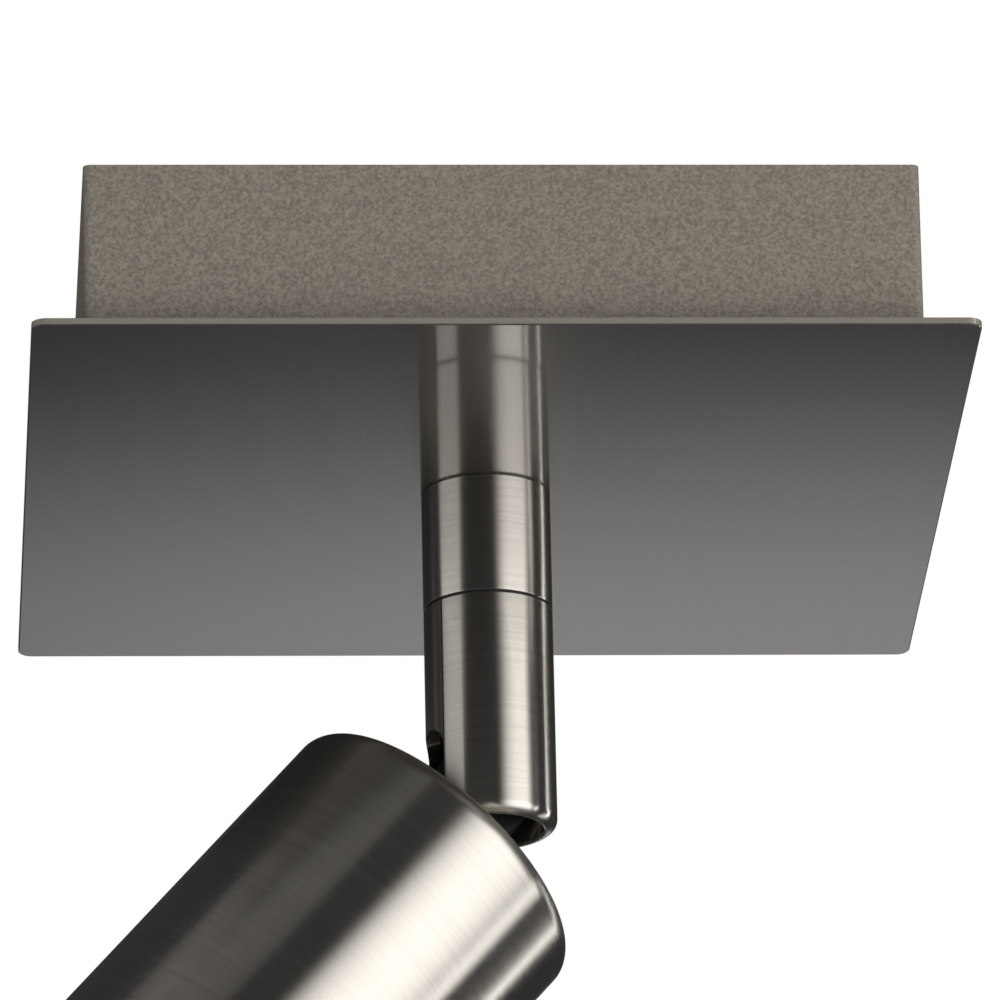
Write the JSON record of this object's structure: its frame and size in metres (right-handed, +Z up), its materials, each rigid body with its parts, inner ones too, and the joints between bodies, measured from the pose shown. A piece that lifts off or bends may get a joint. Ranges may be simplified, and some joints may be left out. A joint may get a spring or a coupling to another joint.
{
  "type": "ceiling spotlight",
  "caption": "Single ceiling spotlight: square canopy under a brushed square plate, short swivel stem, and a cylindrical head that tilts on a slotted knuckle.",
  "frame": {"origin": "centre of the ceiling plane, where the top of the canopy and of the bracket meet the ceiling", "axes": "+Z up into the ceiling; the canopy's sides lie along X and Y; the head leans towards -X and the fixture is seen from -Y"},
  "size_m": [0.1679, 0.15, 0.1844],
  "materials": {
    "canopy_paint": "fine textured warm grey paint",
    "brushed_nickel": "brushed satin nickel",
    "zinc_steel": "bright zinc plate",
    "black_metal": "black satin coating",
    "black_nylon": "moulded, matt",
    "terminal_plastic": "moulded, off-white",
    "brass": "bare",
    "lead_brown": "brown silicone insulation",
    "lead_blue": "blue silicone insulation",
    "lead_green_yellow": "green insulation with a yellow stripe",
    "ceramic": "glazed ceramic",
    "lamp_white": "white coated",
    "board_aluminium": "white solder mask on aluminium",
    "diode_yellow": "phosphor",
    "lens_clear": "clear, moulded"
  },
  "bodies": {
    "base": {"canopy_box": "canopy_paint", "face_plate": "brushed_nickel", "stem_upper": "brushed_nickel", "ceiling_bracket": "zinc_steel", "bracket_nuts": "zinc_steel", "canopy_screws": "zinc_steel", "plate_studs": "zinc_steel", "plate_nuts": "zinc_steel", "terminal_screws": "zinc_steel", "terminal_fixing_screw": "zinc_steel", "earth_washer": "zinc_steel", "earth_screw": "zinc_steel", "threaded_nipple": "zinc_steel", "nipple_washer": "zinc_steel", "nipple_nut": "zinc_steel", "stop_pin": "zinc_steel", "swivel_spring": "zinc_steel", "swivel_nut": "zinc_steel", "swivel_washer": "black_nylon", "nipple_bush": "black_nylon", "terminal_block": "terminal_plastic", "terminal_barrels": "brass", "lead_live": "lead_brown", "lead_neutral": "lead_blue", "lead_earth": "lead_green_yellow"},
    "swivel": {"stem_lower": "brushed_nickel", "tilt_fork": "black_metal", "fork_set_screw": "zinc_steel", "pivot_screw": "zinc_steel", "pivot_nut": "zinc_steel", "pivot_washers": "black_nylon", "swivel_lead_live": "lead_brown", "swivel_lead_earth": "lead_green_yellow", "swivel_lead_neutral": "lead_blue"},
    "head": {"tilt_knuckle": "black_metal", "shank_washer": "zinc_steel", "shank_nut": "zinc_steel", "lamp_housing": "brushed_nickel", "socket_bracket": "zinc_steel", "earth_tag_rivet": "zinc_steel", "lamp_holder": "ceramic", "holder_contacts": "brass", "holder_screws": "zinc_steel", "head_lead_live": "lead_brown", "head_lead_neutral": "lead_blue", "head_lead_earth": "lead_green_yellow"},
    "lamp": {"lamp_shell": "lamp_white", "lamp_board": "board_aluminium", "lamp_diodes": "diode_yellow", "lamp_lens": "lens_clear", "lamp_pins": "brass"}
  },
  "joints": [
    {"name": "stem_pan", "type": "hinge", "parent": "base", "child": "swivel", "pos_m": [0, 0, -0.0515], "axis": [0, 0, 1], "range_deg": [-165, 165]},
    {"name": "head_tilt", "type": "hinge", "parent": "swivel", "child": "head", "pos_m": [0, 0, -0.0828], "axis": [-0.1736, 0.9848, 0], "range_deg": [-41.2, 48.8]},
    {"name": "lamp_twist", "type": "hinge", "parent": "head", "child": "lamp", "pos_m": [0, 0, -0.0828], "axis": [-0.6487, -0.1144, -0.7524], "range_deg": [0, 20]}
  ]
}
